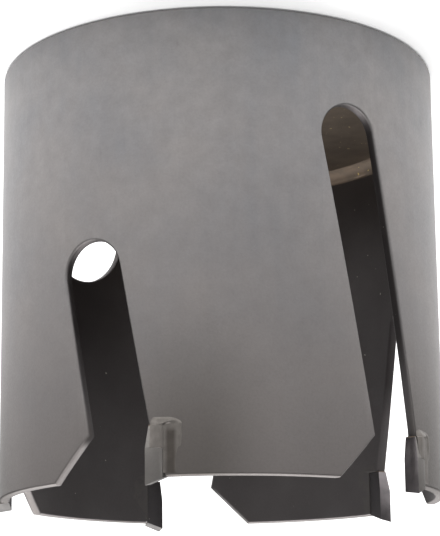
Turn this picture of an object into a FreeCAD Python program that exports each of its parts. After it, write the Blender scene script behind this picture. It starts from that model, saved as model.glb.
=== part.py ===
"""Hole saw, 68 mm: a slotted steel cup, a brazed back plate and five brazed tips.

Sizes are in millimetres. The saw stands on its back face at z = 0, and the teeth point up.
The origin is where the axis meets the back face. A place round the cup is an angle from -Y,
counted counter-clockwise as seen from above, which is also the way that the teeth cut.
"""
import FreeCAD, Part
import math
import os

from FreeCAD import Vector

# Cup
cutting_diameter = 68.0       # across the outer corners of the tips
cup_height = 66.0             # from the back face to the land between two tips
wall = 1.6
edge_break = 0.3              # chamfer on the edges of the slots, the window and the land
back_round = 0.5              # rounding of the rim at the back face

# Tips
tooth_count = 5
first_tooth_angle = 17.6
tip_thickness = 2.6           # along the cut
tip_seat_depth = 7.0          # from the land down to the seat's floor
tip_reach = 1.25              # from the land up to the cutting corner
tip_proud_outside = 0.5
tip_proud_inside = 0.12
tip_shoulder_depth = 3.8      # below the land, where a tip starts to narrow to the wall
tip_side_clearance = 0.1      # what each side of a tip loses from its face to its back
tip_lean_back = 0.34          # of a tip's face at the floor of its seat, where it meets the slot
relief_angle = 20.0           # of the ground top, falling away behind the cutting edge
dish_angle = 9.0              # of the ground top, falling towards the axis
ramp_recess = 0.12            # how far the steel behind a tip stays below the tip's ground top

# Gaps between the teeth: a leaning slot with a round end, and a bevel up to the land
gap_angle = 14.0              # from a tip's face to the direction that its gap is cut in
slot_width = 9.05
slot_lean = 10.6
short_slot_depth = 33.7
long_slot_depth = 53.2
long_slot_tooth = 4           # counted from 0, the tooth whose slot is the long one
long_slot_shift = 0.2         # how much nearer to its tooth the long slot lies
bevel_height = 6.2
bevel_angle = 45.0

# Round window high in the wall
window_diameter = 15.5
window_height = 18.2          # centre above the back face
window_angle = 134.3

# Back plate
plate_thickness = 7.0
plate_chamfer = 0.4
bore_diameter = 14.5          # minor diameter of the 5/8 inch, 18 to the inch thread
bore_chamfer = 0.7
pin_hole_count = 4
pin_hole_diameter = 6.6
pin_circle_diameter = 27.0
first_pin_angle = 45.0
plate_braze_leg = 2.0         # of the ring of braze alloy, on the plate and up the wall

# Braze alloy round the tips
braze_gap = 0.1               # film between a tip and its seat
braze_spread_behind = 1.8     # how far the bead runs out over the wall behind a tip
braze_spread_below = 1.1      # and below it, away from the land
braze_corner = 1.0            # rounding of the bead's corner
braze_below_ramp = 0.4        # how far the bead stays below the ground top

cup_radius = cutting_diameter / 2 - tip_proud_outside
inner_radius = cup_radius - wall
tooth_pitch = 360.0 / tooth_count
beyond = 3.0                  # how far a cutter runs past the steel


def tan(degrees):
    return math.tan(math.radians(degrees))


def turned(shape, angle):
    """A copy of the shape, turned about the axis of the saw."""
    copy = shape.copy()
    copy.rotate(Vector(0, 0, 0), Vector(0, 0, 1), angle)
    return copy


def tooth_angle(tooth):
    return first_tooth_angle + tooth * tooth_pitch


def radial_prism(outline, near_axis, far_from_axis):
    """A closed outline of (x, z) points or edges at -Y, run out along the radius."""
    start = Vector(0, -near_axis, 0)
    if isinstance(outline, list):
        points = [Vector(x, 0, z) for x, z in outline]
        outline = Part.makePolygon(points + points[:1])
    outline.translate(start)
    return Part.Face(outline).extrude(Vector(0, near_axis - far_from_axis, 0))


def slot_half_width():
    """Half of the slot's width, measured level."""
    return slot_width / 2 / math.cos(math.radians(slot_lean))


def slot_centre(depth):
    """Place of the slot's centreline along the tangent, at a depth below the land.

    The slot's edge meets the foot of the tip's face at the floor of the seat.
    """
    foot_of_tip = -cup_radius * math.sin(math.radians(gap_angle)) - tip_lean_back
    return foot_of_tip + slot_half_width() + (depth - tip_seat_depth) * tan(slot_lean)


def gap_outline(slot_depth, shift):
    """Outline of one gap, in the plane that its cutter starts from."""
    end_depth = slot_depth - slot_width / 2
    centre = Vector(slot_centre(end_depth), 0, cup_height - end_depth)
    lean = math.radians(slot_lean)
    across = Vector(math.cos(lean), 0, math.sin(lean)) * (slot_width / 2)
    along = Vector(math.sin(lean), 0, -math.cos(lean)) * (slot_width / 2)
    tooth_side_top = Vector(slot_centre(-beyond) - slot_half_width(), 0, cup_height + beyond)
    bevel_foot = Vector(slot_centre(bevel_height) + slot_half_width(), 0, cup_height - bevel_height)
    bevel_rise = bevel_height + beyond
    bevel_top = bevel_foot + Vector(bevel_rise * tan(bevel_angle), 0, bevel_rise)
    round_end = Part.Arc(centre - across, centre + along, centre + across)
    outline = Part.Wire([
        Part.makeLine(tooth_side_top, centre - across),
        round_end.toShape(),
        Part.makeLine(centre + across, bevel_foot),
        Part.makeLine(bevel_foot, bevel_top),
        Part.makeLine(bevel_top, tooth_side_top),
    ])
    outline.translate(Vector(-shift, 0, 0))
    return outline


def gap_cutter(tooth):
    outline = gap_outline(short_slot_depth, 0)
    if tooth == long_slot_tooth:
        outline = gap_outline(long_slot_depth, long_slot_shift)
    cutter = radial_prism(outline, inner_radius * 0.8, cup_radius + beyond)
    return turned(cutter, tooth_angle(tooth) + gap_angle)


def above_ground_top(recess):
    """Everything above the plane that is ground on a tip, at -Y, less a recess."""
    size = cup_height / 4
    corners = []
    for x, y in ((-size, -size), (size, -size), (size, size), (-size, size)):
        drop = (y * tan(dish_angle)) - (x * tan(relief_angle))
        level = cup_height + tip_reach - recess - drop
        corners.append(Vector(x, y - cutting_diameter / 2, level))
    plane = Part.Face(Part.makePolygon(corners + corners[:1]))
    return plane.extrude(Vector(0, 0, size))


def ring(height, bottom):
    """The tube of the cup, with its seam turned to the plain part of the far side."""
    base = Vector(0, 0, bottom)
    tube = Part.makeCylinder(cup_radius, height, base).cut(Part.makeCylinder(inner_radius, height, base))
    return turned(tube, 212.0 - 90.0)


def ramp():
    """Steel that climbs to the back of a tip, up to the ground top, at -Y, with its edges broken."""
    length = (tip_reach - ramp_recess) / tan(relief_angle)
    back = -tip_thickness - braze_gap
    block = radial_prism([
        (-length - edge_break, cup_height - beyond),
        (back, cup_height - beyond),
        (back, cup_height + tip_reach),
        (-length - edge_break, cup_height + tip_reach),
    ], inner_radius - beyond, cup_radius + beyond)
    wedge = block.common(ring(beyond + tip_reach, cup_height - beyond))
    wedge = wedge.cut(above_ground_top(ramp_recess))
    top_edges = [edge for edge in sharp_edges(wedge) if edge.BoundBox.ZMin > cup_height - edge_break
                 and edge.BoundBox.XLength > edge_break]
    return wedge.makeChamfer(edge_break, top_edges)


def sharp_edges(shape):
    """Edges where a cut goes through the outside or the inside of the wall, without the level ones."""
    found = []
    for edge in shape.Edges:
        walls = [face for face in shape.ancestorsOfType(edge, Part.Face) if is_wall(face)]
        if len(walls) == 1 and edge.BoundBox.ZLength > 1e-6:
            found.append(edge)
    return found


def is_wall(face):
    surface = face.Surface
    if not isinstance(surface, Part.Cylinder) or abs(surface.Axis.z) < 0.9:
        return False
    return min(abs(surface.Radius - cup_radius), abs(surface.Radius - inner_radius)) < 1e-6


def round_edges(shape, radius, height):
    """The level round edges that have this radius and height."""
    return [edge for edge in shape.Edges
            if isinstance(edge.Curve, Part.Circle) and abs(edge.Curve.Radius - radius) < 1e-6
            and abs(edge.CenterOfMass.z - height) < 1e-6]


def tip_seat():
    """Cutter for the seat of one tip, at -Y: open towards the gap and upwards."""
    back = -tip_thickness - braze_gap
    floor = cup_height - tip_seat_depth
    return radial_prism([
        (back, floor),
        (tip_thickness, floor),
        (tip_thickness, cup_height + beyond),
        (back, cup_height + beyond),
    ], inner_radius - beyond, cup_radius + beyond)


def cup_body():
    cup = ring(cup_height, 0)
    cup = cup.makeFillet(back_round, round_edges(cup, cup_radius, 0))
    land_edges = round_edges(cup, cup_radius, cup_height) + round_edges(cup, inner_radius, cup_height)
    cup = cup.makeChamfer(edge_break, land_edges)
    for tooth in range(tooth_count):
        cup = cup.cut(gap_cutter(tooth))
    window = Part.makeCylinder(window_diameter / 2, cup_radius + beyond - inner_radius / 2,
                               Vector(0, -inner_radius / 2, window_height), Vector(0, -1, 0))
    cup = cup.cut(turned(window, window_angle))
    cup = cup.makeChamfer(edge_break, sharp_edges(cup))
    for tooth in range(tooth_count):
        cup = cup.fuse(turned(ramp(), tooth_angle(tooth)))
        cup = cup.cut(turned(tip_seat(), tooth_angle(tooth)))
    return cup.removeSplitter().Solids[0]


def carbide_tip():
    """One tip at -Y, with its face in the plane x = 0 and its cutting corner outwards."""
    floor = cup_height - tip_seat_depth + braze_gap
    shoulder = cup_height - tip_shoulder_depth
    top = cup_height + tip_reach
    outside = cup_radius + tip_proud_outside
    inside = inner_radius - tip_proud_inside
    front = [(-outside, top), (-outside, shoulder), (-cup_radius, floor),
             (-inner_radius, floor), (-inside, shoulder), (-inside, top)]
    front_wire = Part.makePolygon([Vector(0, y, z) for y, z in front + front[:1]])
    block = Part.Face(front_wire).extrude(Vector(-tip_thickness, 0, 0))
    plan = [(0, -outside), (0, -inside), (-tip_thickness, -inside - tip_side_clearance),
            (-tip_thickness, -outside + tip_side_clearance)]
    plan_wire = Part.makePolygon([Vector(x, y, floor) for x, y in plan + plan[:1]])
    block = block.common(Part.Face(plan_wire).extrude(Vector(0, 0, top - floor)))
    lean = radial_prism([
        (-tip_lean_back, floor),
        (0, shoulder),
        (beyond, shoulder),
        (beyond, floor),
    ], inside - beyond, outside + beyond)
    return block.cut(lean).cut(above_ground_top(0))


def bead_block(wall_side, proud_side):
    """A block over the seat at -Y that tapers from the wall to a tip's proud side."""
    back = -tip_thickness - braze_gap
    floor = cup_height - tip_seat_depth
    top = cup_height - braze_below_ramp
    front = -tip_lean_back

    def section(radius, behind, below):
        far = back - behind
        corners = [(front, floor - below), (front, top), (far, top), (far, floor - below)]
        points = [Vector(x, -radius, z) for x, z in corners]
        return Part.makePolygon(points + points[:1])

    wide = section(wall_side, braze_spread_behind, braze_spread_below)
    block = Part.makeLoft([wide, section(proud_side, 0, 0)], True, True)
    sloping = [edge for edge in block.Edges if edge.BoundBox.YLength > 1e-6]
    corner = min(sloping, key=lambda edge: edge.CenterOfMass.x + edge.CenterOfMass.z)
    return block.makeFillet(braze_corner, [corner])


def tip_braze(cup, tip):
    """Braze alloy of one tip at -Y: a film in the seat and a bead on both sides of the wall."""
    sag = cup_radius - math.sqrt(cup_radius ** 2 - (tip_thickness + braze_spread_behind) ** 2)
    outside = bead_block(cup_radius - sag - edge_break, cup_radius + tip_proud_outside / 2)
    inside = bead_block(inner_radius + edge_break, inner_radius - sag - tip_proud_inside / 2)
    film = radial_prism([
        (-tip_thickness - braze_gap, cup_height - tip_seat_depth),
        (-tip_lean_back, cup_height - tip_seat_depth),
        (-tip_lean_back, cup_height - braze_below_ramp),
        (-tip_thickness - braze_gap, cup_height - braze_below_ramp),
    ], inner_radius + edge_break, cup_radius - sag - edge_break)
    return outside.fuse(film).fuse(inside).cut(cup).cut(tip)


def back_plate():
    plate = Part.makeCylinder(inner_radius, plate_thickness)
    plate = plate.makeChamfer(plate_chamfer, round_edges(plate, inner_radius, 0))
    bore = Part.makeCylinder(bore_diameter / 2, plate_thickness)
    plate = plate.cut(bore)
    mouths = (round_edges(plate, bore_diameter / 2, 0)
              + round_edges(plate, bore_diameter / 2, plate_thickness))
    plate = plate.makeChamfer(bore_chamfer, mouths)
    for hole in range(pin_hole_count):
        place = Vector(0, -pin_circle_diameter / 2, 0)
        drill = Part.makeCylinder(pin_hole_diameter / 2, plate_thickness, place)
        plate = plate.cut(turned(drill, first_pin_angle + hole * 360.0 / pin_hole_count))
    return plate


def plate_braze():
    """Ring of braze alloy with a hollow face, in the corner of the plate and the wall."""
    corner = Vector(inner_radius, 0, plate_thickness)
    on_plate = corner - Vector(plate_braze_leg, 0, 0)
    on_wall = corner + Vector(0, 0, plate_braze_leg)
    hollow = corner + Vector(-1, 0, 1) * plate_braze_leg * (1 - math.sqrt(0.5))
    section = Part.Wire([
        Part.makeLine(corner, on_wall),
        Part.Arc(on_wall, hollow, on_plate).toShape(),
        Part.makeLine(on_plate, corner),
    ])
    return Part.Face(section).revolve(Vector(0, 0, 0), Vector(0, 0, 1), 360)


def build():
    cup = cup_body()
    nodes = {"cup_body": cup, "back_plate": back_plate(), "plate_braze": plate_braze()}
    tip = carbide_tip()
    for tooth in range(tooth_count):
        angle = tooth_angle(tooth)
        nodes["carbide_tip_%d" % (tooth + 1)] = turned(tip, angle)
        braze = tip_braze(turned(cup, -angle), tip)
        nodes["tip_braze_%d" % (tooth + 1)] = turned(braze, angle)
    return nodes


os.makedirs("parts", exist_ok=True)
for name, shape in build().items():
    shape.exportStep("parts/%s.step" % name)
    print(name, "valid", shape.isValid(), "solids", len(shape.Solids), "volume", round(shape.Volume, 3))
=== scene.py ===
"""Hole saw with five brazed tips: its finishes, thread and braze, and the studio round it.

Every place is in metres in the frame of the solids: the back face lies on the floor at
z = 0, and the teeth point up. The photograph was turned over, so the camera is too.
"""
import math

import bpy
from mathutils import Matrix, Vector, noise


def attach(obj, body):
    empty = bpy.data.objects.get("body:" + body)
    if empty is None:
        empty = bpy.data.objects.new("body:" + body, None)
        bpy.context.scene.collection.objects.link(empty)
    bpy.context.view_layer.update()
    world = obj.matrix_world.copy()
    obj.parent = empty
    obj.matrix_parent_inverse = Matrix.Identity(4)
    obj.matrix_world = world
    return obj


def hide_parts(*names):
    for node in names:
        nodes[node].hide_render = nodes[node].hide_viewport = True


MM = 0.001

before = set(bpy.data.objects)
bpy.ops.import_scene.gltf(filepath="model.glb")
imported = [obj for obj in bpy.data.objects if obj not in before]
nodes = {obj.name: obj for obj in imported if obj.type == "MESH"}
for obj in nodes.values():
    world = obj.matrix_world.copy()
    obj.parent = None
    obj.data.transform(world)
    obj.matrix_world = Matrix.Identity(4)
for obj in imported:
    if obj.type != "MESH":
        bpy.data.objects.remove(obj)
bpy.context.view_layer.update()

# Sizes of the solids that the finishes and the new pieces follow
CUP_RADIUS = 33.5 * MM
INNER_RADIUS = 31.9 * MM
CUP_HEIGHT = 66.0 * MM
PLATE_THICKNESS = 7.0 * MM
PLATE_CHAMFER = 0.4 * MM
BORE_RADIUS = 7.25 * MM
BORE_CHAMFER = 0.7 * MM
PIN_RADIUS = 3.3 * MM
PIN_CIRCLE_RADIUS = 13.5 * MM
PIN_COUNT = 4
FIRST_PIN = 45.0
THREAD_PITCH = 25.4 / 18 * MM
THREAD_MAJOR_RADIUS = 25.4 * 5 / 8 / 2 * MM
PLATE_BRAZE_LEG = 2.0 * MM
TOOTH_COUNT = 5
FIRST_TOOTH = 17.6
TIP_THICKNESS = 2.6 * MM
TIP_PROUD = 0.5 * MM
TIP_LEAN_BACK = 0.34 * MM
TIP_SHOULDER = 62.2 * MM
SEAT_FLOOR = 59.0 * MM
BRAZE_TOP = 65.6 * MM
BRAZE_GAP = 0.1 * MM

# The honed edge of a tip, and how far the braze spreads, thins out and waves
HONE_AT_BACK = 0.7 * MM
BRAZE_SPREAD_BEHIND = 2.6 * MM
BRAZE_SPREAD_BELOW = 1.05 * MM
FACE_EDGE = 1.1 * MM
SKIN_DEPTH = 0.12 * MM
DIVE_UNDER_TIP = 0.6 * MM
INSIDE_SHARE = 0.25
BEAD_LUMP_LENGTH = 1.1 * MM
BEAD_LUMP_HEIGHT = 0.04 * MM
RING_WAVE_LENGTH = 6.0 * MM
RING_WAVE_HEIGHT = 0.22 * MM

# The marks of heat, and of flux with painted shade in the trough, as shares of the step from tooth to tooth,
# back from a tip's face
BROWN_CENTRE = 0.14
BROWN_CORE = 0.04
BROWN_REACH = 0.3
STAIN_AND_SHADE_CENTRE = 0.082
STAIN_AND_SHADE_CORE = 0.007
STAIN_AND_SHADE_REACH = 0.024
STEP_SHIFT = 0.5 - BROWN_CENTRE

# How near a corner lies to a place to count as on it
NEAR = 0.05 * MM


# Materials

def srgb(hex_value):
    """A linear colour from an sRGB hex value."""
    channels = [int(hex_value[i:i + 2], 16) / 255 for i in (1, 3, 5)]
    linear = [c / 12.92 if c <= 0.04045 else ((c + 0.055) / 1.055) ** 2.4 for c in channels]
    return (*linear, 1.0)


def add_node(material, kind, output, inputs, **settings):
    """Add a shader node and return one of its outputs; an input is a value or an output to link."""
    tree = material.node_tree
    node = tree.nodes.new(kind)
    for key, value in settings.items():
        setattr(node, key, value)
    for key, value in inputs.items():
        if isinstance(value, bpy.types.NodeSocket):
            tree.links.new(value, node.inputs[key])
        else:
            node.inputs[key].default_value = value
    return node.outputs[output]


def new_material(name, base, metallic, roughness):
    """A material with its Principled shader set to the uniform values of the finish."""
    material = bpy.data.materials.new(name)
    material.use_nodes = True
    shader = material.node_tree.nodes["Principled BSDF"]
    shader.inputs["Base Color"].default_value = srgb(base)
    shader.inputs["Metallic"].default_value = metallic
    shader.inputs["Roughness"].default_value = roughness
    return material, shader


def back_from_face(material, place):
    """How far a place lies back from a tip's face, as a share of the step from tooth to tooth.

    STEP_SHIFT is added, so that the jump from 1 to 0 lies far from the brown patches.
    """
    sideways = add_node(material, "ShaderNodeSeparateXYZ", "X", {0: place})
    forwards = add_node(material, "ShaderNodeSeparateXYZ", "Y", {0: place})
    backwards = add_node(material, "ShaderNodeMath", "Value", {0: forwards, 1: -1.0}, operation="MULTIPLY")
    around = add_node(material, "ShaderNodeMath", "Value", {0: sideways, 1: backwards}, operation="ARCTAN2")
    steps = add_node(material, "ShaderNodeMath", "Value",
                     {0: around, 1: -TOOTH_COUNT / math.tau, 2: FIRST_TOOTH * TOOTH_COUNT / 360 + STEP_SHIFT},
                     operation="MULTIPLY_ADD")
    return add_node(material, "ShaderNodeMath", "Value", {0: steps}, operation="FRACT")


def upright_stripe(material, back, centre, core, reach, strength):
    """A soft upright stripe behind every tip: full within the core, and gone at its reach."""
    aside = add_node(material, "ShaderNodeMath", "Value", {0: back, 1: centre + STEP_SHIFT},
                     operation="SUBTRACT")
    aside = add_node(material, "ShaderNodeMath", "Value", {0: aside}, operation="ABSOLUTE")
    return add_node(material, "ShaderNodeMapRange", "Result",
                    {"Value": aside, "From Min": core, "From Max": reach, "To Min": strength, "To Max": 0.0},
                    interpolation_type="SMOOTHSTEP")


def out_of_reach(material, radius, height):
    """Where the grit hardly came: inside the wall, and in the slots away from the teeth."""
    border = add_node(material, "ShaderNodeMapRange", "Result",
                      {"Value": height, "From Min": 0.8 * CUP_HEIGHT, "From Max": 0.95 * CUP_HEIGHT,
                       "To Min": CUP_RADIUS - 0.05 * MM, "To Max": INNER_RADIUS + 0.35 * MM})
    covered = add_node(material, "ShaderNodeMath", "Value", {0: border, 1: 0.3 * MM}, operation="SUBTRACT")
    return add_node(material, "ShaderNodeMapRange", "Result",
                    {"Value": radius, "From Min": border, "From Max": covered})


def grit_grey(material, place, clouds, light, dark, dull):
    """The grey that grit leaves: clouds, faint streaks down the wall, blotches and small pits."""
    drawn = add_node(material, "ShaderNodeMapping", "Vector", {"Vector": place, "Scale": (16, 16, 1)})
    streaks = add_node(material, "ShaderNodeTexNoise", "Fac",
                       {"Vector": drawn, "Scale": 1 / (26 * MM), "Detail": 2.0})
    streaks = add_node(material, "ShaderNodeMapRange", "Result",
                       {"Value": streaks, "From Min": 0.35, "From Max": 0.75, "To Max": 0.35})
    mottle = add_node(material, "ShaderNodeTexNoise", "Fac",
                      {"Vector": place, "Scale": 1 / (2.6 * MM), "Detail": 4.0, "Roughness": 0.65})
    blotches = add_node(material, "ShaderNodeMapRange", "Result",
                        {"Value": mottle, "From Min": 0.3, "From Max": 0.7, "To Max": 0.24})
    pits = add_node(material, "ShaderNodeMapRange", "Result",
                    {"Value": mottle, "From Min": 0.7, "From Max": 0.8, "To Max": 0.5})
    grey = add_node(material, "ShaderNodeMix", 2,
                    {0: clouds, 6: srgb(dark), 7: srgb(light)}, data_type="RGBA")
    grey = add_node(material, "ShaderNodeMix", 2,
                    {0: streaks, 6: grey, 7: srgb(light)}, data_type="RGBA")
    grey = add_node(material, "ShaderNodeMix", 2,
                    {0: blotches, 6: grey, 7: srgb(dull)}, data_type="RGBA")
    return add_node(material, "ShaderNodeMix", 2,
                    {0: pits, 6: grey, 7: srgb(dull)}, data_type="RGBA")


def heat_marks_and_painted_shade(material, grey, back, height, heat):
    """The grey made duller towards the teeth, partly heat tint and partly painted shade, and brownish from
    the heat in a patch behind each tip.
    """
    # Darker all the way from the foot up to the teeth: partly heat tint, partly painted shade
    heated_and_shaded = add_node(material, "ShaderNodeMapRange", "Result",
                      {"Value": height, "From Max": CUP_HEIGHT, "To Max": 0.9 * heat})
    near_teeth = add_node(material, "ShaderNodeMapRange", "Result",
                          {"Value": height, "From Min": 0.6 * CUP_HEIGHT, "From Max": CUP_HEIGHT,
                           "To Max": 0.8 * heat}, interpolation_type="SMOOTHSTEP")
    behind = upright_stripe(material, back, BROWN_CENTRE, BROWN_CORE, BROWN_REACH, 1.0)
    browned = add_node(material, "ShaderNodeMath", "Value", {0: near_teeth, 1: behind}, operation="MULTIPLY")
    grey = add_node(material, "ShaderNodeMix", 2,
                    {0: heated_and_shaded, 6: grey, 7: srgb("#716c6a")}, data_type="RGBA")
    return add_node(material, "ShaderNodeMix", 2,
                    {0: browned, 6: grey, 7: srgb("#575350")}, data_type="RGBA")


def flux_stain_and_painted_shade(material, grey, back, height, strength):
    """The grey with the flux that stayed in the trough behind a tip, above the foot of its seat, and painted
    shade in that trough.
    """
    # Flux colour and painted shade together: the trough is a crease where shade falls
    in_trough = upright_stripe(material, back, STAIN_AND_SHADE_CENTRE, STAIN_AND_SHADE_CORE, STAIN_AND_SHADE_REACH, strength)
    above_foot = add_node(material, "ShaderNodeMapRange", "Result",
                          {"Value": height, "From Min": SEAT_FLOOR, "From Max": SEAT_FLOOR + 1.0 * MM})
    stained_and_shaded = add_node(material, "ShaderNodeMath", "Value", {0: in_trough, 1: above_foot},
                       operation="MULTIPLY")
    return add_node(material, "ShaderNodeMix", 2,
                    {0: stained_and_shaded, 6: grey, 7: srgb("#3f3a36")}, data_type="RGBA")


def dusty_scale(material, place, radius, height, clouds, dark, light):
    """The scale left inside, darker on the slots' faces deep in the cup, with specks of dust."""
    scale = add_node(material, "ShaderNodeMix", 2,
                     {0: clouds, 6: srgb(dark), 7: srgb(light)}, data_type="RGBA")
    on_cut = add_node(material, "ShaderNodeMapRange", "Result",
                      {"Value": radius, "From Min": INNER_RADIUS + 0.02 * MM,
                       "From Max": INNER_RADIUS + 0.2 * MM})
    deep = add_node(material, "ShaderNodeMapRange", "Result",
                    {"Value": height, "From Min": 0.68 * CUP_HEIGHT, "From Max": 0.8 * CUP_HEIGHT,
                     "To Min": 0.75, "To Max": 0.0})
    deep_cut = add_node(material, "ShaderNodeMath", "Value", {0: on_cut, 1: deep}, operation="MULTIPLY")
    scale = add_node(material, "ShaderNodeMix", 2,
                     {0: deep_cut, 6: scale, 7: srgb("#3a3636")}, data_type="RGBA")
    dust = add_node(material, "ShaderNodeTexNoise", "Fac", {"Vector": place, "Scale": 1 / (0.9 * MM)})
    dust = add_node(material, "ShaderNodeMapRange", "Result",
                    {"Value": dust, "From Min": 0.76, "From Max": 0.79})
    return add_node(material, "ShaderNodeMix", 2,
                    {0: dust, 6: scale, 7: srgb("#c9c4ba")}, data_type="RGBA")


def blasted_metal(name, light, dark, dark_inside, light_inside, heat=1.0, stain_and_shade=0.0):
    """Metal blasted with fine grit after brazing: satin, a little mottled, darker inside the cup.

    The two strengths at the end say how strongly the brazing's heat shows, with the painted shade towards the
    teeth, and how strongly its flux does, with the painted shade in the trough behind a tip.
    """
    material, shader = new_material(name, light, 1.0, 0.5)
    links = material.node_tree.links
    place = add_node(material, "ShaderNodeTexCoord", "Object", {})
    flat = add_node(material, "ShaderNodeMapping", "Vector", {"Vector": place, "Scale": (1, 1, 0)})
    radius = add_node(material, "ShaderNodeVectorMath", "Value", {0: flat}, operation="LENGTH")
    height = add_node(material, "ShaderNodeSeparateXYZ", "Z", {0: place})
    back = back_from_face(material, place)
    clouds = add_node(material, "ShaderNodeTexNoise", "Fac",
                      {"Vector": place, "Scale": 1 / (14 * MM), "Detail": 3.0, "Roughness": 0.55})
    clouds = add_node(material, "ShaderNodeMapRange", "Result",
                      {"Value": clouds, "From Min": 0.3, "From Max": 0.7})
    grey = grit_grey(material, place, clouds, light, dark, dark_inside)
    grey = heat_marks_and_painted_shade(material, grey, back, height, heat)
    if stain_and_shade:
        grey = flux_stain_and_painted_shade(material, grey, back, height, stain_and_shade)
    scale = dusty_scale(material, place, radius, height, clouds, dark_inside, light_inside)
    colour = add_node(material, "ShaderNodeMix", 2,
                      {0: out_of_reach(material, radius, height), 6: grey, 7: scale}, data_type="RGBA")
    links.new(colour, shader.inputs["Base Color"])
    # The grit's dents are about 0.1 mm wide, too fine to show, so they are drawn 0.32 mm wide
    grit = add_node(material, "ShaderNodeTexNoise", "Fac",
                    {"Vector": place, "Scale": 1 / (0.32 * MM), "Detail": 2.0, "Roughness": 0.6})
    satin = add_node(material, "ShaderNodeMapRange", "Result",
                     {"Value": grit, "From Min": 0.25, "From Max": 0.75, "To Min": 0.46, "To Max": 0.58})
    links.new(satin, shader.inputs["Roughness"])
    bumps = add_node(material, "ShaderNodeBump", "Normal",
                     {"Height": grit, "Distance": 0.03 * MM, "Strength": 0.3})
    links.new(bumps, shader.inputs["Normal"])
    return material


def turned_plate():
    """Mild steel, turned, and browned by the heat of brazing, with specks of stray braze."""
    material, shader = new_material("heat_browned_mild_steel", "#6b6053", 1.0, 0.5)
    links = material.node_tree.links
    place = add_node(material, "ShaderNodeTexCoord", "Object", {})
    clouds = add_node(material, "ShaderNodeTexNoise", "Fac",
                      {"Vector": place, "Scale": 1 / (5 * MM), "Detail": 4.0, "Roughness": 0.6})
    clouds = add_node(material, "ShaderNodeMapRange", "Result",
                      {"Value": clouds, "From Min": 0.3, "From Max": 0.7})
    specks = add_node(material, "ShaderNodeTexNoise", "Fac",
                      {"Vector": place, "Scale": 1 / (0.7 * MM), "Detail": 1.0})
    specks = add_node(material, "ShaderNodeMapRange", "Result",
                      {"Value": specks, "From Min": 0.71, "From Max": 0.76})
    brown = add_node(material, "ShaderNodeMix", 2,
                     {0: clouds, 6: srgb("#5f564d"), 7: srgb("#756a5e")}, data_type="RGBA")
    colour = add_node(material, "ShaderNodeMix", 2,
                      {0: specks, 6: brown, 7: srgb("#b3a47c")}, data_type="RGBA")
    links.new(colour, shader.inputs["Base Color"])
    # Lines of turning are tenths of a millimetre apart, so the wave draws them 2.2 mm apart
    rings = add_node(material, "ShaderNodeTexWave", "Fac",
                     {"Vector": place, "Scale": 1 / (7 * MM), "Distortion": 0.4, "Detail": 1.0},
                     wave_type="RINGS", rings_direction="Z", wave_profile="SAW")
    bumps = add_node(material, "ShaderNodeBump", "Normal",
                     {"Height": rings, "Distance": 0.02 * MM, "Strength": 0.4})
    links.new(bumps, shader.inputs["Normal"])
    return material


def braze_alloy():
    """Silver and copper braze that has run, and dulled: beige, with a few specks left golden."""
    material, shader = new_material("silver_braze_alloy", "#8a7f6e", 1.0, 0.75)
    links = material.node_tree.links
    place = add_node(material, "ShaderNodeTexCoord", "Object", {})
    patches = add_node(material, "ShaderNodeTexNoise", "Fac",
                       {"Vector": place, "Scale": 1 / (2.2 * MM), "Detail": 4.0, "Roughness": 0.6})
    dull = add_node(material, "ShaderNodeMapRange", "Result",
                    {"Value": patches, "From Min": 0.4, "From Max": 0.65})
    beige = add_node(material, "ShaderNodeMix", 2,
                     {0: dull, 6: srgb("#928375"), 7: srgb("#857a6f")}, data_type="RGBA")
    specks = add_node(material, "ShaderNodeTexNoise", "Fac",
                      {"Vector": place, "Scale": 1 / (0.8 * MM), "Detail": 1.0})
    specks = add_node(material, "ShaderNodeMapRange", "Result",
                      {"Value": specks, "From Min": 0.72, "From Max": 0.75})
    colour = add_node(material, "ShaderNodeMix", 2,
                      {0: specks, 6: beige, 7: srgb("#dcc98a")}, data_type="RGBA")
    links.new(colour, shader.inputs["Base Color"])
    bumps = add_node(material, "ShaderNodeBump", "Normal",
                     {"Height": patches, "Distance": 0.05 * MM, "Strength": 0.3})
    links.new(bumps, shader.inputs["Normal"])
    return material


def ground_carbide(name, light, dark, roughness):
    """Sintered tungsten carbide, ground with a diamond wheel: dark grey with fine lines."""
    material, shader = new_material(name, dark, 1.0, roughness)
    links = material.node_tree.links
    place = add_node(material, "ShaderNodeTexCoord", "Object", {})
    # The wheel's lines are hundredths of a millimetre apart, so they are drawn 0.18 mm apart
    drawn = add_node(material, "ShaderNodeMapping", "Vector", {"Vector": place, "Scale": (20, 20, 1)})
    lines = add_node(material, "ShaderNodeTexNoise", "Fac",
                     {"Vector": drawn, "Scale": 1 / (3.6 * MM), "Detail": 1.0})
    cast = add_node(material, "ShaderNodeTexNoise", "Fac",
                    {"Vector": place, "Scale": 1 / (1.8 * MM), "Detail": 2.0})
    cast = add_node(material, "ShaderNodeMapRange", "Result",
                    {"Value": cast, "From Min": 0.3, "From Max": 0.7})
    grey = add_node(material, "ShaderNodeMix", 2,
                    {0: cast, 6: srgb(dark), 7: srgb(light)}, data_type="RGBA")
    links.new(grey, shader.inputs["Base Color"])
    bumps = add_node(material, "ShaderNodeBump", "Normal",
                     {"Height": lines, "Distance": 0.02 * MM, "Strength": 0.35})
    links.new(bumps, shader.inputs["Normal"])
    return material


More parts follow.
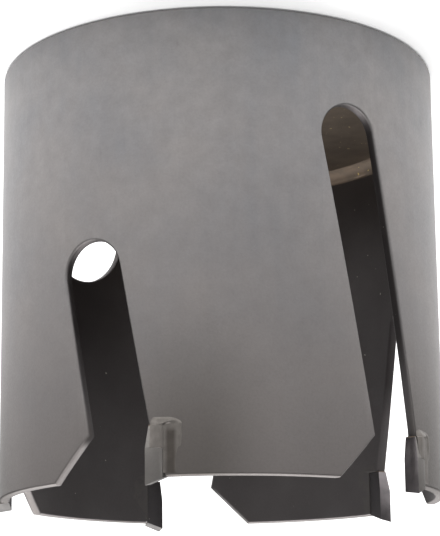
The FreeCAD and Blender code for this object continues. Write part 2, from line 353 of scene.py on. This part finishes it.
# The sides of the tips and the braze round them were blasted with the steel; the braze in the
# first bead still holds flux, and its trough carries painted shade too. The faces of the tips are ground
# fine, and their tops coarser.
STEEL = blasted_metal("grit_blasted_tool_steel", "#959291", "#86878a", "#666262", "#747070")
BLASTED_CARBIDE = blasted_metal("grit_blasted_tungsten_carbide", "#928f8b", "#868481",
                                "#535051", "#5f5c5d", heat=0.4)
BRAZE_GREYS = ("#8f8b84", "#837e78", "#6c6867", "#767270")
BLASTED_BRAZE = blasted_metal("grit_blasted_silver_braze", *BRAZE_GREYS, heat=0.6)
STAINED_AND_SHADED_BRAZE = blasted_metal("flux_stained_and_shaded_silver_braze", *BRAZE_GREYS, heat=0.6, stain_and_shade=0.75)
PLATE = turned_plate()
BRAZE = braze_alloy()
CARBIDE = ground_carbide("ground_tungsten_carbide", "#7b7677", "#686465", 0.36)
RELIEF_CARBIDE = ground_carbide("coarsely_ground_tungsten_carbide", "#5b5856", "#4c4a49", 0.5)


# Camera: turned over, as the photograph is, and a little above the teeth

camera_data = bpy.data.cameras.new("camera")
camera_data.lens = 120.19
camera_data.sensor_width = 36.0
camera_data.shift_y = 0.15
camera_data.dof.use_dof = False
camera_data.clip_start = 0.01
camera_data.clip_end = 20.0
camera = bpy.data.objects.new("camera", camera_data)
camera.location = (-0.00016, -0.26999, 0.09613)
camera.rotation_euler = [math.radians(a) for a in (-78.708, -0.634, 179.827)]
bpy.context.scene.collection.objects.link(camera)
bpy.context.scene.camera = camera


# Helpers for modelling

def deselect_all():
    bpy.ops.object.select_all(action="DESELECT")


def choose(piece):
    deselect_all()
    piece.select_set(True)
    bpy.context.view_layer.objects.active = piece


def apply_modifiers(piece):
    choose(piece)
    for modifier in list(piece.modifiers):
        bpy.ops.object.modifier_apply(modifier=modifier.name)


def cut_away(piece, cutters):
    """Cut every cutter out of the piece, then throw the cutters away."""
    for cutter in cutters:
        cut = piece.modifiers.new("cut", "BOOLEAN")
        cut.operation = "DIFFERENCE"
        cut.solver = "EXACT"
        cut.object = cutter
    apply_modifiers(piece)
    for cutter in cutters:
        bpy.data.objects.remove(cutter)


def place_in_mesh(piece):
    """Put the object's place, turn and size into its mesh, as a node of the solids has them."""
    choose(piece)
    bpy.ops.object.transform_apply(location=True, rotation=True, scale=True)


def merged_copy(node_name):
    """A copy of a node's mesh with its loose triangles joined."""
    copy = bpy.data.objects.new(node_name + "_copy", nodes[node_name].data.copy())
    bpy.context.scene.collection.objects.link(copy)
    choose(copy)
    bpy.ops.mesh.customdata_custom_splitnormals_clear()
    bpy.ops.object.mode_set(mode="EDIT")
    bpy.ops.mesh.select_all(action="SELECT")
    bpy.ops.mesh.remove_doubles(threshold=0.0005 * MM)
    bpy.ops.object.mode_set(mode="OBJECT")
    copy.data.materials.clear()
    return copy


def turned_copy(piece, steps):
    """A copy with its own mesh, turned about the axis of the saw by steps from tooth to tooth."""
    copy = bpy.data.objects.new(piece.name, piece.data.copy())
    bpy.context.scene.collection.objects.link(copy)
    copy.rotation_euler.z = math.radians(steps * 360 / TOOTH_COUNT)
    place_in_mesh(copy)
    return copy


def finish_piece(piece, name, material, node, smooth_angle=35):
    """Name the piece, smooth it, give it its finish, and let it stand for a node."""
    piece.name = name
    piece.data.name = name
    if not piece.data.materials:
        piece.data.materials.append(material)
    place_in_mesh(piece)
    bpy.ops.object.shade_smooth_by_angle(angle=math.radians(smooth_angle))
    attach(piece, "root")
    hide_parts(node)
    return piece


# Cup: the blasting rounds the broken edges, so they are shaded as one with the walls

cup = finish_piece(merged_copy("cup_body"), "blasted_cup", STEEL, "cup_body", 62)
round_edges = cup.modifiers.new("round_edges", "WEIGHTED_NORMAL")
round_edges.keep_sharp = True
round_edges.weight = 90
apply_modifiers(cup)


# Back plate with the arbor's thread

def cylinder(radius, low, high, x=0.0, y=0.0, sides=128):
    deselect_all()
    bpy.ops.mesh.primitive_cylinder_add(vertices=sides, radius=radius, depth=high - low,
                                        location=(x, y, (low + high) / 2))
    return bpy.context.object


def countersink(low, high, low_radius, high_radius):
    deselect_all()
    bpy.ops.mesh.primitive_cone_add(vertices=144, radius1=low_radius, radius2=high_radius,
                                    depth=high - low, location=(0, 0, (low + high) / 2))
    return bpy.context.object


def thread_tap():
    """The coil that cuts the thread: a 60 degree ridge on a helix, longer than the plate."""
    depth = THREAD_MAJOR_RADIUS - BORE_RADIUS + 0.15 * MM
    flat = THREAD_PITCH / 16
    foot = flat + depth * math.tan(math.radians(30))
    deselect_all()
    bpy.ops.mesh.primitive_plane_add(size=1, location=(0, 0, 0))
    tap = bpy.context.object
    corners = [(-depth, -foot), (0, -flat), (0, flat), (-depth, foot)]
    for vertex, (out, up) in zip((tap.data.vertices[i] for i in (0, 1, 3, 2)), corners):
        vertex.co = (THREAD_MAJOR_RADIUS + out, 0, up - 1.2 * THREAD_PITCH)
    coil = tap.modifiers.new("helix", "SCREW")
    coil.screw_offset = THREAD_PITCH
    coil.iterations = 8
    coil.steps = 48
    coil.render_steps = 48
    coil.use_merge_vertices = False
    bpy.ops.object.mode_set(mode="EDIT")
    bpy.ops.mesh.select_all(action="SELECT")
    bpy.ops.mesh.delete(type="ONLY_FACE")
    bpy.ops.object.mode_set(mode="OBJECT")
    apply_modifiers(tap)
    bpy.ops.object.mode_set(mode="EDIT")
    bpy.ops.mesh.select_all(action="SELECT")
    bpy.ops.mesh.fill_holes(sides=4)
    bpy.ops.mesh.select_all(action="SELECT")
    bpy.ops.mesh.normals_make_consistent(inside=False)
    bpy.ops.object.mode_set(mode="OBJECT")
    return tap


def threaded_plate():
    plate = cylinder(INNER_RADIUS, 0, PLATE_THICKNESS, sides=256)
    bpy.ops.object.mode_set(mode="EDIT")
    bpy.ops.mesh.select_all(action="DESELECT")
    bpy.ops.object.mode_set(mode="OBJECT")
    half = PLATE_THICKNESS / 2
    for edge in plate.data.edges:
        ends = [plate.data.vertices[i].co for i in edge.vertices]
        edge.select = all(abs(end.z + half) < NEAR for end in ends)
    bpy.ops.object.mode_set(mode="EDIT")
    bpy.ops.mesh.select_mode(type="EDGE")
    bpy.ops.mesh.bevel(offset=PLATE_CHAMFER, segments=1)
    bpy.ops.object.mode_set(mode="OBJECT")
    over = 1.0 * MM
    cutters = [cylinder(BORE_RADIUS, -over, PLATE_THICKNESS + over, sides=144)]
    mouth = BORE_RADIUS + BORE_CHAMFER
    cutters.append(countersink(-over, BORE_CHAMFER, mouth + over, BORE_RADIUS))
    cutters.append(countersink(PLATE_THICKNESS - BORE_CHAMFER, PLATE_THICKNESS + over,
                               BORE_RADIUS, mouth + over))
    for i in range(PIN_COUNT):
        turn = math.radians(FIRST_PIN + i * 360 / PIN_COUNT)
        x = PIN_CIRCLE_RADIUS * math.sin(turn)
        y = -PIN_CIRCLE_RADIUS * math.cos(turn)
        cutters.append(cylinder(PIN_RADIUS, -over, PLATE_THICKNESS + over, x, y, sides=96))
    cutters.append(thread_tap())
    cut_away(plate, cutters)
    return plate


finish_piece(threaded_plate(), "threaded_back_plate", PLATE, "back_plate")


# Ring of braze in the corner of the plate and the wall

def plate_braze_ring():
    ring = cylinder(INNER_RADIUS, PLATE_THICKNESS, PLATE_THICKNESS + PLATE_BRAZE_LEG, sides=256)
    hole = cylinder(INNER_RADIUS - PLATE_BRAZE_LEG, PLATE_THICKNESS - MM,
                    PLATE_THICKNESS + PLATE_BRAZE_LEG + MM, sides=256)
    deselect_all()
    bpy.ops.mesh.primitive_torus_add(major_segments=256, minor_segments=48,
                                     major_radius=INNER_RADIUS - PLATE_BRAZE_LEG,
                                     minor_radius=PLATE_BRAZE_LEG * 0.985,
                                     location=(0, 0, PLATE_THICKNESS + PLATE_BRAZE_LEG))
    cut_away(ring, [hole, bpy.context.object])
    place_in_mesh(ring)
    for vertex in ring.data.vertices:
        over_plate = vertex.co.z > PLATE_THICKNESS + NEAR
        off_wall = vertex.co.to_2d().length < INNER_RADIUS - NEAR
        if over_plate and off_wall:
            wave = noise.noise(vertex.co / RING_WAVE_LENGTH) * RING_WAVE_HEIGHT
            vertex.co.z += wave
            vertex.co.x *= 1 - wave / INNER_RADIUS
            vertex.co.y *= 1 - wave / INNER_RADIUS
    return ring


finish_piece(plate_braze_ring(), "plate_braze_ring", BRAZE, "plate_braze")


# Tips with their edges honed, and the beads that the braze ran into round them

def honed_tip():
    """The first tip: blasted on its sides with the cup, then ground on its face and its top."""
    piece = merged_copy("carbide_tip_1")
    bpy.ops.object.mode_set(mode="EDIT")
    bpy.ops.mesh.select_all(action="SELECT")
    bpy.ops.mesh.dissolve_limited(angle_limit=math.radians(1))
    bpy.ops.object.mode_set(mode="OBJECT")
    turn = math.radians(FIRST_TOOTH)
    cut_direction = Vector((math.cos(turn), math.sin(turn), 0))
    outwards = Vector((math.sin(turn), -math.cos(turn), 0))
    weights = piece.data.attributes.new("bevel_weight_edge", "FLOAT", "EDGE")
    for edge in piece.data.edges:
        ends = [piece.data.vertices[i].co for i in edge.vertices]
        at_back = all(end.dot(cut_direction) < -TIP_THICKNESS + NEAR for end in ends)
        outside = all(end.dot(outwards) > CUP_RADIUS - NEAR for end in ends)
        upright = abs(ends[0].z - ends[1].z) > 2 * MM
        at_shoulder = all(abs(end.z - TIP_SHOULDER) < 2 * NEAR for end in ends)
        weight = 1.0 if at_back and outside and upright else 0.1
        weights.data[edge.index].value = 0.0 if at_shoulder else weight
    hone = piece.modifiers.new("hone", "BEVEL")
    hone.width = HONE_AT_BACK
    hone.segments = 2
    hone.limit_method = "WEIGHT"
    apply_modifiers(piece)
    piece.data.materials.append(BLASTED_CARBIDE)
    piece.data.materials.append(CARBIDE)
    piece.data.materials.append(RELIEF_CARBIDE)
    for face in piece.data.polygons:
        if face.normal.z > 0.8:
            face.material_index = 2
        elif face.normal.dot(cut_direction) > 0.8:
            face.material_index = 1
    return piece


def profile(steps, out):
    """Height of a smooth line through the steps, in mm, at a place on it."""
    for (start, low), (end, high) in zip(steps, steps[1:]):
        if out <= end:
            part = (out - start) / (end - start)
            return low + (high - low) * part * part * (3 - 2 * part)
    return steps[-1][1]


def pool_height(behind, below, rim):
    """Height of the braze over the wall round the tip.

    The braze slopes down from the tip's foot; behind the tip it leaves a trough and a low rim.
    """
    sideways = max(behind, 0) / BRAZE_SPREAD_BEHIND
    out = math.hypot(sideways, max(below, 0) / BRAZE_SPREAD_BELOW)
    share = (sideways / out) ** 2 if out else 0
    slope = profile([(0.0, 0.5), (0.9, 0.03), (1.0, -0.04), (2.0, -0.3)], out)
    trough = profile([(0.0, 0.06), (0.15, 0.03), (0.5, 0.03), (0.78, 0.24 * rim - 0.12), (1.0, -0.08),
                      (2.0, -0.3)], out)
    return (slope + (trough - slope) * share) * MM


def height_over_tip(back, risen):
    """Height of the braze that fills the slope of the tip's side up to its shoulder."""
    filled = profile([(0.0, 0.5), (1.0, 0.505), (1.05, 0.2), (3.0, 0.2)], risen)
    at_face = max(0, 1 - (back - TIP_LEAN_BACK) / FACE_EDGE)
    filled += (0.48 * min(1, risen) - filled) * at_face
    from_back = min(1, (TIP_THICKNESS - back) / HONE_AT_BACK)
    return min(filled, TIP_PROUD / MM - 0.44 * (1 - from_back) ** 2) * MM


def braze_skin(wall_radius, height_scale, edge):
    """The skin of braze on one side of the wall, round the first seat.

    Outside, it also covers the tip's slope up to the shoulder; inside, it ends under the tip.
    """
    deselect_all()
    bpy.ops.mesh.primitive_grid_add(x_subdivisions=56, y_subdivisions=96, size=2)
    skin = bpy.context.object
    far = TIP_THICKNESS + BRAZE_SPREAD_BEHIND
    low = SEAT_FLOOR - BRAZE_SPREAD_BELOW
    for vertex in skin.data.vertices:
        up = low + (BRAZE_TOP - low) * (1 + vertex.co.y) / 2
        back = edge + (far - edge) * (1 - vertex.co.x) / 2
        risen = (up - SEAT_FLOOR) / (BRAZE_TOP - SEAT_FLOOR)
        height = pool_height(back - TIP_THICKNESS, SEAT_FLOOR - up, min(1, max(0, 1.6 - 2.4 * risen)))
        if up > SEAT_FLOOR and back < TIP_THICKNESS:
            height = height_over_tip(back, (up - SEAT_FLOOR) / (TIP_SHOULDER - SEAT_FLOOR))
            if height_scale < 0:
                height = -DIVE_UNDER_TIP
        elif up < SEAT_FLOOR:
            height *= min(1, (back - edge) / FACE_EDGE)
        turn = math.radians(FIRST_TOOTH) - math.asin(back / wall_radius)
        radius = wall_radius + height * height_scale
        vertex.co = (radius * math.sin(turn), -radius * math.cos(turn), up)
    skin.data.materials.append(BLASTED_BRAZE)
    depth = skin.modifiers.new("depth", "SOLIDIFY")
    depth.thickness = SKIN_DEPTH
    depth.offset = -1 if height_scale > 0 else 1
    apply_modifiers(skin)
    return skin


def seat_filler():
    """The film of braze between the first tip and its seat; the tip stands in it."""
    deselect_all()
    bpy.ops.mesh.primitive_cube_add(size=1)
    film = bpy.context.object
    length = TIP_THICKNESS + BRAZE_GAP - TIP_LEAN_BACK
    film.scale = (length, CUP_RADIUS - INNER_RADIUS - 0.2 * MM, BRAZE_TOP - SEAT_FLOOR)
    film.location = (-TIP_LEAN_BACK - length / 2, -(CUP_RADIUS + INNER_RADIUS) / 2,
                     (BRAZE_TOP + SEAT_FLOOR) / 2)
    place_in_mesh(film)
    film.rotation_euler.z = math.radians(FIRST_TOOTH)
    place_in_mesh(film)
    film.data.materials.append(BRAZE)
    return film


def braze_bead():
    """The first bead: a pool of braze outside with a trough round the tip, and a low one inside."""
    outside = braze_skin(CUP_RADIUS, 1.0, TIP_LEAN_BACK + 0.3 * MM)
    inside = braze_skin(INNER_RADIUS, -INSIDE_SHARE, TIP_LEAN_BACK + 0.75 * MM)
    film = seat_filler()
    choose(outside)
    inside.select_set(True)
    film.select_set(True)
    bpy.ops.object.join()
    return outside


first_tip = honed_tip()
first_bead = braze_bead()
for tooth in range(TOOTH_COUNT):
    number = tooth + 1
    finish_piece(turned_copy(first_tip, tooth), "honed_tip_%d" % number, CARBIDE,
                 "carbide_tip_%d" % number)
    bead = turned_copy(first_bead, tooth)
    # Only the first bead has its trough dark, with flux and painted shade
    if tooth == 0:
        bead.data.materials[0] = STAINED_AND_SHADED_BRAZE
    lumps = [vertex.normal * noise.noise(vertex.co / BEAD_LUMP_LENGTH) for vertex in bead.data.vertices]
    for vertex, lump in zip(bead.data.vertices, lumps):
        vertex.co += lump * BEAD_LUMP_HEIGHT
    finish_piece(bead, "tip_bead_%d" % number, BLASTED_BRAZE, "tip_braze_%d" % number, 60)
bpy.data.objects.remove(first_tip)
bpy.data.objects.remove(first_bead)


# Studio: a white floor with a faint glow, a light over the saw, and a wide one behind it

def area_light(name, place, aim, width, height, watts):
    data = bpy.data.lights.new(name, "AREA")
    data.shape = "RECTANGLE"
    data.size = width
    data.size_y = height
    data.energy = watts
    lamp = bpy.data.objects.new(name, data)
    lamp.location = place
    lamp.rotation_euler = (Vector(aim) - Vector(place)).to_track_quat("-Z", "Y").to_euler()
    bpy.context.scene.collection.objects.link(lamp)


floor_paint, floor_shader = new_material("white_studio_floor", "#f9f9f9", 0.0, 0.9)
floor_shader.inputs["Emission Color"].default_value = srgb("#ffffff")
floor_shader.inputs["Emission Strength"].default_value = 0.15
deselect_all()
bpy.ops.mesh.primitive_plane_add(size=6, location=(0, 0, -0.1 * MM))
floor = bpy.context.object
floor.name = "floor"
floor.data.materials.append(floor_paint)

area_light("over_the_saw", (0.1, -0.04, 0.42), (0, -0.04, 0), 0.7, 0.45, 2.75)
area_light("behind_the_saw", (-0.3, 0.8, 0.9), (-0.3, 0.55, 0), 2.2, 1.2, 24)

world = bpy.data.worlds.new("studio")
world.use_nodes = True
world.node_tree.nodes["Background"].inputs["Color"].default_value = srgb("#b8b8b8")
world.node_tree.nodes["Background"].inputs["Strength"].default_value = 0.5
bpy.context.scene.world = world
bpy.context.scene.view_settings.view_transform = "Standard"
